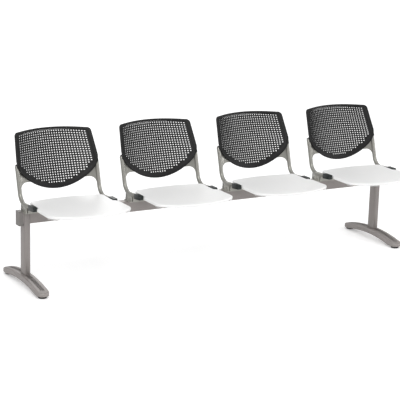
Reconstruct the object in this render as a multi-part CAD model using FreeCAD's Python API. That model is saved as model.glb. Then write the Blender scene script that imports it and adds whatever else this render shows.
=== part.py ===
import FreeCAD, Part
import math
import os
from FreeCAD import Placement, Rotation, Vector

# A row of four moulded chairs on one steel beam with two T-shaped legs.
# Millimetres, +Z up, +X to the viewer's right, the seats face -Y.
# The origin is on the floor under the middle of the row's outer box.
# Reaches are measured from the beam's axis, positive to the rear.

# Row of chairs
chair_count = 4
chair_pitch = 600.0

# Round features are drawn with flats, and long curves with chords this far off the curve
round_sides = 12
corner_facets = 3
chord_error = 1.0

# Beam: rectangular steel tube lying along X
beam_height = 60.0
beam_depth = 46.0
beam_wall = 3.0
beam_corner = 2.0
beam_below_rim = 63.0
beam_end_margin = 10.0

# Moulded block that closes each end of the beam
end_block_height = 78.0
end_block_depth = 50.0
end_block_length = 20.0
end_block_corner = 8.0
end_plug_length = 14.0
end_plug_gap = 0.2

# Columns: rounded tube, slotted at the top to take the beam
column_width = 36.0
column_depth = 62.0
column_corner = 12.0
column_wall = 3.0
column_inset = 23.0

# Feet: arched castings, one across each end of the row
foot_length = 520.0
foot_width = 65.0
foot_tip_bottom = 11.0
foot_tip_thickness = 19.0
foot_middle_thickness = 30.0
foot_top = 62.0
foot_pad_length = 62.0
column_socket_depth = 8.0

# Levelling glides under the foot tips: a pad, and a stem turned by its hexagonal collar
glide_inset = 34.0
glide_pad_radius = 23.0
glide_pad_height = 6.0
glide_pad_sides = 20
glide_neck_radius = 5.0
glide_neck_depth = 3.7
glide_collar_across = 22.0
glide_collar_height = 4.5
glide_stem_radius = 4.0
glide_stem_length = 16.0
glide_bore_gap = 0.1
glide_end_gap = 1.0
glide_pad_gap = 0.1
glide_neck_gap = 0.3

# Side frames: one bent bar a side, with a flat web up to the back
bar_radius = 11.0
bar_sides = 12
bar_half_spacing = 225.0
rail_tilt = 3.0
bend_below_rim = 22.0
bend_behind_beam = 25.0
bend_radius = 65.0
bend_facets = 4
upright_lean = 16.0
upper_lean = 22.0
upper_bend_over_rim = 140.0
upper_bend_radius = 150.0
upper_bend_facets = 1
upright_top_run = 40.0
rail_front_run = 180.0

# Web between upright and back
web_thickness = 3.0
web_reach = 92.0
web_turn = 11.0
web_foot = 66.0
web_foot_radius = 38.0
web_head = 196.0

# Rail end caps
cap_width = 26.0
cap_height = 28.0
cap_length = 62.0
cap_chamfer = 5.0
cap_front_wall = 8.0

# Back: moulded shell on a leaning cylinder, seen square on in (x, u)
back_front_radius = 450.0
back_wall = 6.0
back_half_width = 231.0
back_top_half_width = 216.0
back_bottom = -106.0
back_widest = 46.0
back_top = 223.0
back_top_crown = 26.0
back_top_corner = 24.0
back_bottom_radius = 300.0
back_border_side = 17.0
back_border_top = 12.0
back_border_bottom = 27.0
back_field_corner = 8.0
back_fit_gap = 0.4

# Square openings of the back's grille, one column of them to each flat of the shell
grille_pitch = 40.0
grille_opening = 25.0

# Saddles that seat the back on the upper uprights
saddle_width = 18.0
saddle_start = 4.0
saddle_length = 32.0

# Seat: dished moulding with a turned-down edge
seat_wall = 5.0
seat_skirt = 13.0
seat_skirt_width = 7.0
seat_rim_height = 460.0
seat_dish_across = 3.0
seat_dish_along = 8.0
seat_flats_across = 6
seat_flats_along = 7
seat_rear_half_width = 208.0
seat_front_half_width = 245.0
seat_front_reach = 408.0
seat_rear_reach = -15.0
seat_widest_reach = 228.0
seat_shoulder_reach = 165.0
seat_shoulder_inner = 10.0
seat_front_radius = 500.0
seat_rear_radius = 900.0
seat_rear_corner = 50.0
seat_fall = 4.0
seat_fall_start = 300.0
seat_rear_lift = 4.0
seat_lift_length = 110.0
seat_boss_size = 18.0
seat_boss_x = 120.0

# Carrier: lipped channel on a base plate that ties a chair's two side frames to the beam
carrier_depth = 60.0
carrier_front = -48.0
carrier_channel_margin = 9.0
carrier_base_margin = 9.0
carrier_base_depth = 72.0
carrier_height = 28.0
carrier_wall = 3.0
carrier_lip = 17.0
carrier_tab_thickness = 4.0
carrier_tab_length = 50.0
carrier_tab_hole_radius = 5.0
carrier_tab_hole_height = 15.0

# Cross bar under the front of each seat
cross_bar_depth = 28.0
cross_bar_thickness = 5.0
cross_bar_reach = -84.0
cross_bar_below_rim = 25.0
cross_bar_lap = 2.0

# Stays: hexagonal posts between beam and rail
stay_across = 10.0
stay_reach = 15.0

# Leg joint: bolts from the rear through column and beam into a tapped plate
leg_bolt_radius = 5.0
leg_bolt_spacing = 28.0
leg_bolt_head_across = 17.0
leg_bolt_head_height = 7.0
leg_bolt_gap = 0.4
leg_nut_height = 50.0

# Places that follow from the sizes above
# Beam, rails and backs keep their heights to the rim of the seats.
beam_top = seat_rim_height - beam_below_rim
bend_height = seat_rim_height - bend_below_rim
upper_bend_height = seat_rim_height + upper_bend_over_rim
cross_bar_top = seat_rim_height - cross_bar_below_rim
# The beam and its base plates run a margin past the axes of the outermost rails.
beam_y = (seat_front_reach - foot_length / 2.0) / 2.0
beam_length = (chair_count - 1) * chair_pitch + 2 * (bar_half_spacing + beam_end_margin)
beam_bottom = beam_top - beam_height
beam_mid = beam_top - beam_height / 2.0
column_x = beam_length / 2.0 - column_inset
carrier_half_length = bar_half_spacing - carrier_channel_margin
carrier_base_half_length = bar_half_spacing + carrier_base_margin
carrier_top = beam_top + carrier_height
carrier_rest = carrier_front + carrier_lip / 2.0
chair_centres = [(i - (chair_count - 1) / 2.0) * chair_pitch for i in range(chair_count)]
bend_point = Vector(bar_half_spacing, beam_y + bend_behind_beam, bend_height)


def direction(angle):
    """Unit vector in the YZ plane that leans back by an angle from vertical."""
    return Vector(0, math.sin(math.radians(angle)), math.cos(math.radians(angle)))


def box(x0, x1, y0, y1, z0, z1):
    return Part.makeBox(x1 - x0, y1 - y0, z1 - z0, Vector(x0, y0, z0))


def mirrored(shape):
    """The same piece on the other side of the YZ plane."""
    return shape.mirror(Vector(0, 0, 0), Vector(1, 0, 0))


def moved(shape, x=0.0, y=0.0, z=0.0):
    copy = shape.copy()
    copy.translate(Vector(x, y, z))
    return copy


def prism(points, run):
    """Solid made by running a closed polygon along a vector."""
    return Part.Face(Part.makePolygon(points + points[:1])).extrude(run)


def rounded_bar(width, depth, radius, centre, z0, z1):
    """Upright prism whose four corners are rounded with flats."""
    points = []
    for quarter, (sx, sy) in enumerate(((1, 1), (-1, 1), (-1, -1), (1, -1))):
        corner = Vector(centre[0] + sx * (width / 2 - radius), centre[1] + sy * (depth / 2 - radius), z0)
        for step in range(corner_facets + 1):
            angle = math.pi / 2 * (quarter + step / corner_facets)
            points.append(corner + Vector(math.cos(angle), math.sin(angle), 0) * radius)
    return prism(points, Vector(0, 0, z1 - z0))


def regular_polygon(sides, radius, centre, normal):
    """Corners of equal sides, on a circle square to a normal in the YZ plane."""
    first = Vector(1, 0, 0)
    second = normal.cross(first).normalize()
    angles = [2 * math.pi * (k + 0.5) / sides for k in range(sides)]
    return [centre + first * (radius * math.cos(a)) + second * (radius * math.sin(a)) for a in angles]


def upright_prism(sides, radius, base, height):
    """Upright prism on a regular polygon centred on base."""
    return prism(regular_polygon(sides, radius, base, Vector(0, 0, 1)), Vector(0, 0, height))


def round_pin(radius, base, height):
    """Upright pin whose corners lie on its radius."""
    return upright_prism(round_sides, radius, base, height)


def round_hole(radius, base, height):
    """Cutter for an upright hole whose flats lie on its radius."""
    return upright_prism(round_sides, radius / math.cos(math.pi / round_sides), base, height)


def in_chords(face):
    """The same face with its curved edges drawn as chords."""
    points = face.OuterWire.discretize(Deflection=chord_error)
    return Part.Face(Part.makePolygon(points))


def hexagon_prism(across, base, height):
    return upright_prism(6, across / math.sqrt(3.0), base, height)


def bent_bar(points, radii, facets):
    """Bar of round section drawn with flats; each bend is drawn as short mitred lengths."""
    path = [points[0]]
    for corner, after, bend, count in zip(points[1:-1], points[2:], radii, facets):
        into = (corner - path[-1]).normalize()
        away = (after - corner).normalize()
        half_turn = into.getAngle(away) / 2.0
        centre = corner + (away - into).normalize() * (bend / math.cos(half_turn))
        start = (corner - into * (bend * math.tan(half_turn)) - centre).normalize()
        step = 2 * half_turn / count
        for k in range(count):
            turn = Rotation(into.cross(away), math.degrees(step * (k + 0.5)))
            path.append(centre + turn.multVec(start) * (bend / math.cos(step / 2)))
    path.append(points[-1])
    section = regular_polygon(bar_sides, bar_radius, path[0], (path[1] - path[0]).normalize())
    wire = Part.makePolygon(section + section[:1])
    return Part.makePolygon(path).makePipeShell([wire], True, True, 1)


# Axes of the side frame's bar, on the right side of a chair
rail_axis = Vector(0, -math.cos(math.radians(rail_tilt)), math.sin(math.radians(rail_tilt)))
lower_upright = direction(upright_lean)
upper_upright = direction(upper_lean)
upper_bend = bend_point + lower_upright * ((upper_bend_height - bend_height) / lower_upright.z)
rail_front = bend_point + rail_axis * rail_front_run
upright_top = upper_bend + upper_upright * upright_top_run
cap_tip = rail_front + rail_axis * cap_front_wall
right_bar = bent_bar([rail_front, bend_point, upper_bend, upright_top],
                     [bend_radius, upper_bend_radius], [bend_facets, upper_bend_facets])

# The back's own frame: u runs up along its lean, v points to the rear.
# Its cylinder is set so that the upper uprights lie along its rear face.
back_v = Vector(0, math.cos(math.radians(upper_lean)), -math.sin(math.radians(upper_lean)))
back_rear_radius = back_front_radius + back_wall
upright_circle = back_rear_radius + back_fit_gap + bar_radius
upright_depth = math.sqrt(upright_circle ** 2 - bar_half_spacing ** 2)
back_origin = Vector(0, upper_bend.y, upper_bend.z) - back_v * upright_depth
back_placement = Placement(back_origin, Rotation(Vector(1, 0, 0), -upper_lean))


def back_outline(inset_side, inset_top, inset_bottom):
    """D-shaped outline in (x, u): a wide bottom arc, round sides and a crowned top."""
    half = back_half_width - inset_side
    top_half = back_top_half_width - inset_side
    bottom = back_bottom + inset_bottom
    top = back_top - inset_top
    radius = back_bottom_radius - inset_bottom
    centre_u = bottom + radius
    # The side arc touches the bottom arc from inside and stands upright at the widest point.
    rise = centre_u - back_widest
    run = half
    side = (radius ** 2 - rise ** 2 - run ** 2) / (2.0 * (radius - run))
    side_centre = Vector(half - side, back_widest, 0)
    bottom_centre = Vector(0, centre_u, 0)
    joint = bottom_centre + (side_centre - bottom_centre).normalize() * radius
    side_middle_angle = (math.atan2(joint.y - side_centre.y, joint.x - side_centre.x)) / 2.0
    side_middle = side_centre + Vector(math.cos(side_middle_angle), math.sin(side_middle_angle), 0) * side
    widest = Vector(half, back_widest, 0)
    corner_u = top - back_top_crown
    corner = max(back_top_corner - inset_side, back_field_corner)
    into = Vector(top_half - half, corner_u - back_widest, 0).normalize()
    corner_foot = Vector(top_half, corner_u, 0) - into * corner
    corner_head = Vector(top_half - corner, corner_u + back_top_crown * corner / top_half, 0)
    corner_middle = (Vector(top_half, corner_u, 0) * 2 + corner_foot + corner_head) * 0.25
    top_middle = Vector(0, top, 0)

    def flip(p):
        return Vector(-p.x, p.y, p.z)

    edges = [
        Part.Arc(flip(joint), Vector(0, bottom, 0), joint).toShape(),
        Part.Arc(joint, side_middle, widest).toShape(),
        Part.LineSegment(widest, corner_foot).toShape(),
        Part.Arc(corner_foot, corner_middle, corner_head).toShape(),
        Part.Arc(corner_head, top_middle, flip(corner_head)).toShape(),
        Part.Arc(flip(corner_head), flip(corner_middle), flip(corner_foot)).toShape(),
        Part.LineSegment(flip(corner_foot), flip(widest)).toShape(),
        Part.Arc(flip(widest), flip(side_middle), flip(joint)).toShape(),
    ]
    return Part.Face(Part.Wire(edges))


def back_prism(outline):
    """Outline in (x, u) run through the back's whole depth, in the back's own frame."""
    prism = outline.copy()
    prism.rotate(Vector(0, 0, 0), Vector(1, 0, 0), 90)
    depth = back_front_radius * 1.2
    return prism.extrude(Vector(0, depth, 0))


def back_drum(radius):
    """Solid of upright flats out to a radius, as wide as the grille's columns, in the back's own frame."""
    count = int(math.ceil(back_half_width / grille_pitch + 0.5))
    across = [(k - 0.5) * grille_pitch for k in range(1 - count, count + 1)]
    base = back_bottom - back_wall
    rim = [Vector(x, math.sqrt(radius ** 2 - x ** 2), base) for x in across]
    return prism(rim + [Vector(0, 0, base)], Vector(0, 0, back_top - back_bottom + 2 * back_wall))


def grille_openings():
    """Square cutters on a grid, kept where they lie inside the border."""
    field = back_outline(back_border_side, back_border_top, back_border_bottom)
    half = grille_opening / 2.0
    columns = int(back_half_width // grille_pitch)
    rows = int((back_top - back_bottom) // grille_pitch)
    cutters = []
    for column in range(-columns, columns + 1):
        for row in range(rows):
            x = column * grille_pitch
            u = back_top - back_border_top - grille_pitch * (row + 0.5)
            corners = [Vector(x + sx * half, u + su * half, 0) for sx in (-1, 1) for su in (-1, 1)]
            if all(field.isInside(c, 0.01, True) for c in corners):
                cutters.append(box(x - half, x + half, 0, 2 * back_front_radius, u - half, u + half))
    return cutters


def back_saddle():
    """Block behind the right edge of the shell, hollowed to sit on the upright."""
    block = box(bar_half_spacing - saddle_width / 2, bar_half_spacing + saddle_width / 2,
                0, upright_depth, saddle_start, saddle_start + saddle_length)
    front = Part.makeCylinder(back_rear_radius - back_wall / 2, back_top)
    return block.cut(front)


def back_shell():
    """Perforated shell with a plain border and two saddles, moulded as one piece."""
    slab = back_drum(back_rear_radius).cut(back_drum(back_front_radius))
    shell = slab.common(back_prism(in_chords(back_outline(0, 0, 0))))
    shell = shell.cut(grille_openings())
    saddle = back_saddle()
    shell = shell.fuse([saddle, mirrored(saddle)])
    shell.Placement = back_placement
    return shell.cut([right_bar, mirrored(right_bar)])


def web_plate():
    """Flat web from the right upright to the back of the rim."""
    inward = Vector(-math.cos(math.radians(web_turn)), 0, 0)
    inward += Vector(0, lower_upright.z, -lower_upright.y) * math.sin(math.radians(web_turn))
    normal = inward.cross(lower_upright)
    centre_t = bar_radius + web_foot_radius
    edge_t = bar_radius / 2.0

    def at(s, t):
        return bend_point + lower_upright * s + inward * t - normal * (web_thickness / 2.0)

    arc_middle = web_foot_radius * math.sqrt(0.5)
    edges = [
        Part.LineSegment(at(web_foot, edge_t), at(web_foot, bar_radius)).toShape(),
        Part.Arc(at(web_foot, bar_radius), at(web_foot + arc_middle, centre_t - arc_middle),
                 at(web_foot + web_foot_radius, centre_t)).toShape(),
        Part.LineSegment(at(web_foot + web_foot_radius, centre_t),
                         at(web_foot + web_foot_radius, web_reach)).toShape(),
        Part.LineSegment(at(web_foot + web_foot_radius, web_reach), at(web_head, edge_t)).toShape(),
        Part.LineSegment(at(web_head, edge_t), at(web_foot, edge_t)).toShape(),
    ]
    return Part.Face(Part.Wire(edges)).extrude(normal * web_thickness)


def side_frame():
    """Right side frame: bent bar with the web welded to it, cut off at the back's rear face."""
    drum = back_drum(back_rear_radius)
    drum.Placement = back_placement
    return right_bar.fuse(web_plate().cut(drum))


def rail_cap():
    """Right end cap: a chamfered sleeve over the front end of the rail."""
    c = cap_chamfer
    sleeve = box(-cap_width / 2, cap_width / 2, 0, cap_length, -cap_height / 2, cap_height / 2)
    sleeve = sleeve.makeChamfer(c, [e for e in sleeve.Edges if e.CenterOfMass.y < cap_length - c])
    sleeve.Placement = Placement(cap_tip, Rotation(Vector(1, 0, 0), -rail_tilt))
    return sleeve.cut(right_bar)


def rail_height(reach):
    """Height of the rail's axis at a reach in front of the bend."""
    return bend_height + (bend_behind_beam - reach) * math.tan(math.radians(rail_tilt))


def seat_height_across(x):
    return -seat_dish_across * (1.0 - (x / seat_front_half_width) ** 2)


def seat_height_along(reach):
    """Shallow hollow that falls away at the front and lifts at the rear."""
    middle = (seat_rear_reach - seat_front_reach) / 2.0
    half_length = (seat_rear_reach + seat_front_reach) / 2.0
    hollow = 1.0 - ((reach - middle) / half_length) ** 2
    fall = max(0.0, (-reach - seat_fall_start) / (seat_front_reach - seat_fall_start))
    lift = max(0.0, 1.0 + (reach - seat_rear_reach) / seat_lift_length)
    return seat_rear_lift * lift ** 2 - seat_fall * fall ** 2 - seat_dish_along * hollow


def seat_height(x, reach):
    return seat_rim_height + seat_height_across(x) + seat_height_along(reach)


def seat_slab(thickness, drop=0.0):
    """Dished slab of flats under the seat's upper face, a little larger than the seat in plan."""
    half = seat_front_half_width + seat_wall
    span = seat_front_reach + seat_rear_reach + 2 * seat_wall
    across = [half * (2.0 * i / seat_flats_across - 1) for i in range(seat_flats_across + 1)]
    along = [span * j / seat_flats_along - seat_front_reach - seat_wall for j in range(seat_flats_along + 1)]
    strips = []
    for start, end in zip(along, along[1:]):
        upper = [Vector(x, beam_y + start, seat_height(x, start) - drop) for x in across]
        lower = [p - Vector(0, 0, thickness) for p in reversed(upper)]
        rise = seat_height_along(end) - seat_height_along(start)
        strips.append(prism(upper + lower, Vector(0, end - start, rise)))
    return strips[0].fuse(strips[1:])


def seat_outline(inset):
    """Seat plan: round rear corners, shoulders in front of the rail caps, wide round front."""
    rear_half = seat_rear_half_width - inset
    front_half = seat_front_half_width - inset
    rear = seat_rear_reach - inset
    front = -seat_front_reach + inset
    rear_corner = seat_rear_corner - inset
    rear_radius = seat_rear_radius - inset
    front_radius = seat_front_radius - inset
    # Rear corner: tangent inside the rear arc
    rear_centre = rear - rear_radius
    corner_x = rear_half - rear_corner
    corner_y = rear_centre + math.sqrt((rear_radius - rear_corner) ** 2 - corner_x ** 2)
    rear_joint = Vector(corner_x, corner_y - rear_centre, 0).normalize() * rear_radius
    rear_joint.y += rear_centre
    # Front corner: tangent inside the front arc, upright at the widest point
    front_centre = front + front_radius
    rise = front_centre + seat_widest_reach
    corner = (front_radius ** 2 - rise ** 2 - front_half ** 2) / (2.0 * (front_radius - front_half))
    front_corner = Vector(front_half - corner, -seat_widest_reach, 0)
    front_joint = (front_corner - Vector(0, front_centre, 0)).normalize() * front_radius
    front_joint.y += front_centre
    # Shoulder: a small inner arc and a larger outer arc turn the side outwards and back
    shift = front_half - rear_half
    length = seat_widest_reach - seat_shoulder_reach
    total = (shift ** 2 + length ** 2) / (2.0 * shift)
    turn = math.asin(length / total)
    inner = seat_shoulder_inner + inset
    outer = total - inner

    def on_arc(cx, cy, radius, angle):
        return Vector(cx + radius * math.cos(angle), cy + radius * math.sin(angle), 0)

    inner_centre = (rear_half + inner, -seat_shoulder_reach)
    outer_centre = (front_half - outer, -seat_widest_reach)
    shoulder_start = Vector(rear_half, -seat_shoulder_reach, 0)
    shoulder_inner = on_arc(inner_centre[0], inner_centre[1], inner, math.pi + turn / 2)
    shoulder_joint = on_arc(inner_centre[0], inner_centre[1], inner, math.pi + turn)
    shoulder_outer = on_arc(outer_centre[0], outer_centre[1], outer, turn / 2)
    widest = Vector(front_half, -seat_widest_reach, 0)
    front_angle = math.atan2(front_joint.y - front_corner.y, front_joint.x - front_corner.x)
    front_middle = on_arc(front_corner.x, front_corner.y, corner, front_angle / 2)
    rear_angle = math.atan2(rear_joint.y - corner_y, rear_joint.x - corner_x)
    rear_middle = on_arc(corner_x, corner_y, rear_corner, rear_angle / 2)
    rear_side = Vector(rear_half, corner_y, 0)

    def flip(p):
        return Vector(-p.x, p.y, p.z)

    right = [
        Part.Arc(rear_joint, rear_middle, rear_side).toShape(),
        Part.LineSegment(rear_side, shoulder_start).toShape(),
        Part.Arc(shoulder_start, shoulder_inner, shoulder_joint).toShape(),
        Part.Arc(shoulder_joint, shoulder_outer, widest).toShape(),
        Part.Arc(widest, front_middle, front_joint).toShape(),
    ]
    left = [
        Part.Arc(flip(front_joint), flip(front_middle), flip(widest)).toShape(),
        Part.Arc(flip(widest), flip(shoulder_outer), flip(shoulder_joint)).toShape(),
        Part.Arc(flip(shoulder_joint), flip(shoulder_inner), flip(shoulder_start)).toShape(),
        Part.LineSegment(flip(shoulder_start), flip(rear_side)).toShape(),
        Part.Arc(flip(rear_side), flip(rear_middle), flip(rear_joint)).toShape(),
    ]
    front_edge = Part.Arc(front_joint, Vector(0, front, 0), flip(front_joint)).toShape()
    rear_edge = Part.Arc(flip(rear_joint), Vector(0, rear, 0), rear_joint).toShape()
    return Part.Face(Part.Wire(right + [front_edge] + left + [rear_edge]))


def seat_shell():
    """Dished panel with a turned-down skirt, standing on four bosses."""
    height = 6 * seat_skirt
    base = seat_rim_height - height / 2
    whole = moved(in_chords(seat_outline(0)), 0, beam_y, base).extrude(Vector(0, 0, height))
    inner = moved(in_chords(seat_outline(seat_skirt_width)), 0, beam_y, base)
    inner = inner.extrude(Vector(0, 0, height))
    hollow = seat_slab(seat_skirt, seat_wall).common(inner)
    seat = seat_slab(seat_skirt).common(whole).cut(hollow)
    half = seat_boss_size / 2
    bosses = []
    for side in (-1, 1):
        for reach, support in ((cross_bar_reach, cross_bar_top), (carrier_rest, carrier_top)):
            x = side * seat_boss_x
            y = beam_y + reach
            bosses.append(box(x - half, x + half, y - half, y + half,
                              support, seat_height(x, reach) - seat_wall / 2))
    return seat.fuse(bosses)


def carrier():
    """Base plate on the beam with a lipped channel and an upright tab under each rail."""
    y0 = beam_y + carrier_front
    y1 = y0 + carrier_depth
    z0 = beam_top
    z1 = carrier_top
    w = carrier_wall
    section = [(y0, z0), (y1, z0), (y1, z1), (y1 - carrier_lip, z1), (y1 - carrier_lip, z1 - w),
               (y1 - w, z1 - w), (y1 - w, z0 + w), (y0 + w, z0 + w), (y0 + w, z1 - w),
               (y0 + carrier_lip, z1 - w), (y0 + carrier_lip, z1), (y0, z1)]
    channel = prism([Vector(-carrier_half_length, y, z) for y, z in section],
                    Vector(2 * carrier_half_length, 0, 0))
    base = box(-carrier_base_half_length, carrier_base_half_length, y0, y0 + carrier_base_depth, z0, z0 + w)
    inner = bar_half_spacing - carrier_tab_thickness / 2
    tab = box(inner, inner + carrier_tab_thickness, y0, y0 + carrier_tab_length, z0, bend_height)
    hole = round_hole(carrier_tab_hole_radius, Vector(0, 0, 0), 2 * carrier_tab_thickness)
    hole.rotate(Vector(0, 0, 0), Vector(0, 1, 0), 90)
    hole = moved(hole, inner - carrier_tab_thickness / 2, y0 + carrier_tab_length / 2,
                 z0 + carrier_tab_hole_height)
    tab = lowest(tab.cut([right_bar, hole]))
    return base.fuse([channel, tab, mirrored(tab)])


def lowest(shape):
    return min(shape.Solids, key=lambda solid: solid.CenterOfMass.z)


def cross_bar():
    """Flat bar turned up at both ends against the inner sides of the rails."""
    outer = bar_half_spacing - bar_radius + cross_bar_lap
    inner = outer - cross_bar_thickness
    top = rail_height(cross_bar_reach)
    bottom = cross_bar_top - cross_bar_thickness
    profile = [(-outer, bottom), (outer, bottom), (outer, top), (inner, top),
               (inner, cross_bar_top), (-inner, cross_bar_top), (-inner, top), (-outer, top)]
    y = beam_y + cross_bar_reach - cross_bar_depth / 2
    bar = prism([Vector(x, y, z) for x, z in profile], Vector(0, cross_bar_depth, 0))
    return bar.cut([right_bar, mirrored(right_bar)])


def stay():
    """Right hexagonal post from the carrier's base plate to the underside of the bend."""
    foot = Vector(bar_half_spacing, beam_y + stay_reach, beam_top + carrier_wall)
    return lowest(hexagon_prism(stay_across, foot, 2 * (bend_height - beam_top)).cut(right_bar))


def lying(shape, x, y, z):
    """Turn an upright piece so that its top faces the rear, and place its base."""
    turned = shape.copy()
    turned.rotate(Vector(0, 0, 0), Vector(1, 0, 0), -90)
    return moved(turned, x, y, z)


def leg_bolt_places(side):
    return [(side * column_x, beam_mid + step * leg_bolt_spacing / 2) for step in (-1, 1)]


def leg_bolt_holes(side):
    """Cutters through the beam and the column's rear wall."""
    depth = column_depth - column_wall
    pin = round_hole(leg_bolt_radius + leg_bolt_gap, Vector(0, 0, -depth), depth + column_wall)
    return [lying(pin, x, beam_y + column_depth / 2, z) for x, z in leg_bolt_places(side)]


def leg_bolts(side):
    """Bolts that reach from the column's rear face into the tapped plate."""
    depth = column_depth - column_wall
    bolt = round_pin(leg_bolt_radius, Vector(0, 0, -depth), depth)
    bolt = bolt.fuse(hexagon_prism(leg_bolt_head_across, Vector(0, 0, 0), leg_bolt_head_height))
    return [lying(bolt, x, beam_y + column_depth / 2, z) for x, z in leg_bolt_places(side)]


def beam():
    """Hollow rectangular tube with cross holes at each column."""
    tube = box(-beam_length / 2, beam_length / 2, beam_y - beam_depth / 2, beam_y + beam_depth / 2,
               beam_bottom, beam_top)
    tube = tube.makeChamfer(beam_corner, [e for e in tube.Edges if e.Length > beam_length / 2])
    inner = box(-beam_length, beam_length, beam_y - beam_depth / 2 + beam_wall,
                beam_y + beam_depth / 2 - beam_wall, beam_bottom + beam_wall, beam_top - beam_wall)
    return tube.cut([inner] + leg_bolt_holes(-1) + leg_bolt_holes(1))


def end_block(side):
    """Rounded block that closes the beam's end, with a plug inside the tube."""
    start = beam_length / 2
    block = rounded_bar(end_block_height, end_block_depth, end_block_corner, (0, 0), 0, end_block_length)
    block.rotate(Vector(0, 0, 0), Vector(0, 1, 0), 90)
    wall = beam_wall + end_plug_gap
    plug = box(start - end_plug_length, start, beam_y - beam_depth / 2 + wall,
               beam_y + beam_depth / 2 - wall, beam_bottom + wall, beam_top - wall)
    block = moved(block, start, beam_y, beam_mid).fuse(plug)
    return block if side > 0 else mirrored(block)


def column_bore(side):
    """Space inside the column's wall, with cut corners."""
    a = column_width / 2 - column_wall
    b = column_depth / 2 - column_wall
    cut = column_corner / 2
    corners = [(a, b - cut), (a - cut, b), (cut - a, b), (-a, b - cut),
               (-a, cut - b), (cut - a, -b), (a - cut, -b), (a, cut - b)]
    return prism([Vector(side * column_x + x, beam_y + y, 0) for x, y in corners], Vector(0, 0, beam_top))


def column(side):
    """Rounded tube from the foot's socket up to the beam's top, slotted for the beam."""
    x = side * column_x
    base = foot_top - column_socket_depth
    tube = rounded_bar(column_width, column_depth, column_corner, (x, beam_y), base, beam_top)
    slot = box(x - column_width, x + column_width, beam_y - beam_depth / 2, beam_y + beam_depth / 2,
               beam_bottom, 2 * beam_top)
    return tube.cut([column_bore(side), slot] + leg_bolt_holes(side))


def nut_plate(side):
    """Tapped plate between the column's front wall and the beam."""
    x = side * column_x
    half = column_width / 2 - column_wall - column_corner / 2
    front = beam_y - column_depth / 2 + column_wall
    plate = box(x - half, x + half, front, beam_y - beam_depth / 2,
                beam_mid - leg_nut_height / 2, beam_mid + leg_nut_height / 2)
    return plate.cut(leg_bolts(side))


def glide_y(end):
    return beam_y + end * (foot_length / 2 - glide_inset)


def foot_side():
    """Side view of the foot: flat under the tips, arched between them, bowed on top."""
    half = foot_length / 2
    flat = half - foot_pad_length
    tip_top = foot_tip_bottom + foot_tip_thickness
    middle = foot_top - foot_middle_thickness

    def at(y, z):
        return Vector(-foot_width / 2, beam_y + y, z)

    edges = [
        Part.Arc(at(-half, tip_top), at(0, foot_top), at(half, tip_top)).toShape(),
        Part.LineSegment(at(half, tip_top), at(half, foot_tip_bottom)).toShape(),
        Part.LineSegment(at(half, foot_tip_bottom), at(flat, foot_tip_bottom)).toShape(),
        Part.Arc(at(flat, foot_tip_bottom), at(0, middle), at(-flat, foot_tip_bottom)).toShape(),
        Part.LineSegment(at(-flat, foot_tip_bottom), at(-half, foot_tip_bottom)).toShape(),
        Part.LineSegment(at(-half, foot_tip_bottom), at(-half, tip_top)).toShape(),
    ]
    return in_chords(Part.Face(Part.Wire(edges))).extrude(Vector(foot_width, 0, 0))


def foot(side):
    """Arched casting with round tips, a socket for the column and bores for the glides."""
    radius = foot_width / 2
    straight = foot_length / 2 - radius
    plan = box(-radius, radius, beam_y - straight, beam_y + straight, 0, 2 * foot_top)
    ends = [upright_prism(2 * round_sides, radius, Vector(0, beam_y + end * straight, 0), 2 * foot_top)
            for end in (-1, 1)]
    body = foot_side().common(plan.fuse(ends))
    socket = rounded_bar(column_width, column_depth, column_corner, (0, beam_y),
                         foot_top - column_socket_depth, 2 * foot_top)
    bores = [round_hole(glide_stem_radius + glide_bore_gap, Vector(0, glide_y(end), 0),
                        foot_tip_bottom + glide_stem_length + glide_end_gap) for end in (-1, 1)]
    return moved(body.cut([socket] + bores), side * column_x)


def glide_pad(side, end):
    """Round pad with a hollow for the stem's neck."""
    centre = Vector(side * column_x, glide_y(end), 0)
    pad = upright_prism(glide_pad_sides, glide_pad_radius, centre, glide_pad_height)
    hollow = glide_neck_depth + glide_neck_gap
    return pad.cut(round_hole(glide_neck_radius + glide_neck_gap,
                              centre + Vector(0, 0, glide_pad_height - hollow), glide_pad_height))


def glide_stem(side, end):
    """Threaded stem with a hexagonal collar, and a neck that turns in the pad."""
    centre = Vector(side * column_x, glide_y(end), 0)
    collar_base = glide_pad_height + glide_pad_gap
    neck_base = glide_pad_height - glide_neck_depth
    collar = hexagon_prism(glide_collar_across, centre + Vector(0, 0, collar_base), glide_collar_height)
    neck = round_pin(glide_neck_radius, centre + Vector(0, 0, neck_base), collar_base - neck_base)
    shank_top = foot_tip_bottom + glide_stem_length
    shank_base = collar_base + glide_collar_height
    shank = round_pin(glide_stem_radius, centre + Vector(0, 0, shank_base), shank_top - shank_base)
    return collar.fuse([neck, shank])


def write(name, shape):
    shape.exportStep("parts/" + name + ".step")


os.makedirs("parts", exist_ok=True)

right_frame = side_frame()
right_cap = rail_cap()
right_stay = stay()
chair_pieces = {
    "side_frame_left": mirrored(right_frame),
    "side_frame_right": right_frame,
    "back_shell": back_shell(),
    "seat_shell": seat_shell(),
    "carrier": carrier(),
    "cross_bar": cross_bar(),
    "rail_cap_left": mirrored(right_cap),
    "rail_cap_right": right_cap,
}
stays = []
for number, x in enumerate(chair_centres, start=1):
    for name, piece in chair_pieces.items():
        write("%s_%d" % (name, number), moved(piece, x))
    stays.extend([moved(right_stay, x), moved(mirrored(right_stay), x)])
write("stays", Part.makeCompound(stays))

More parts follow.
